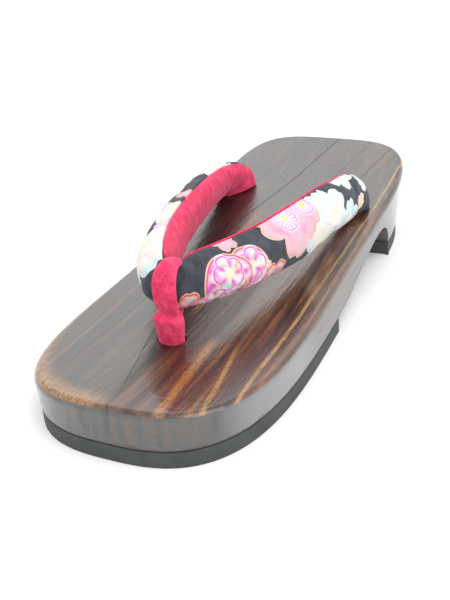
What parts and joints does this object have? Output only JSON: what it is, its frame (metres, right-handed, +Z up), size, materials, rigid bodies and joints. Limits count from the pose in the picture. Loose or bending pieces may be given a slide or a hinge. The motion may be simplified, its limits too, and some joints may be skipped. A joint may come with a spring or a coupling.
{
  "type": "geta sandal",
  "caption": "Wooden geta sandal with a hollowed top, a crosswise notch under the arch, rubber pads, and a padded V-shaped strap held by a toe loop.",
  "frame": {"origin": "on the floor, under the middle of the sandal's bounding box", "axes": "toe towards -Y, heel towards +Y, +X across the sandal, +Z up; the plane x = 0 is its plane of symmetry"},
  "size_m": [0.089, 0.23, 0.0505],
  "materials": {
    "lacquered_wood": "burnt softwood with a raised grain under clear gloss lacquer",
    "black_rubber": "matte",
    "printed_cotton": "smooth printed cotton over padding",
    "crimson_cloth": "short nap, like flannel",
    "hemp_cord": "twisted cord"
  },
  "bodies": {
    "root": {"wooden_base": "lacquered_wood", "front_rubber_sole": "black_rubber", "heel_rubber_sole": "black_rubber", "strap_cover": "printed_cotton", "strap_lining_left": "crimson_cloth", "strap_lining_right": "crimson_cloth", "toe_loop": "crimson_cloth", "front_knot": "hemp_cord", "rear_knot_left": "hemp_cord", "rear_knot_right": "hemp_cord"}
  },
  "joints": []
}
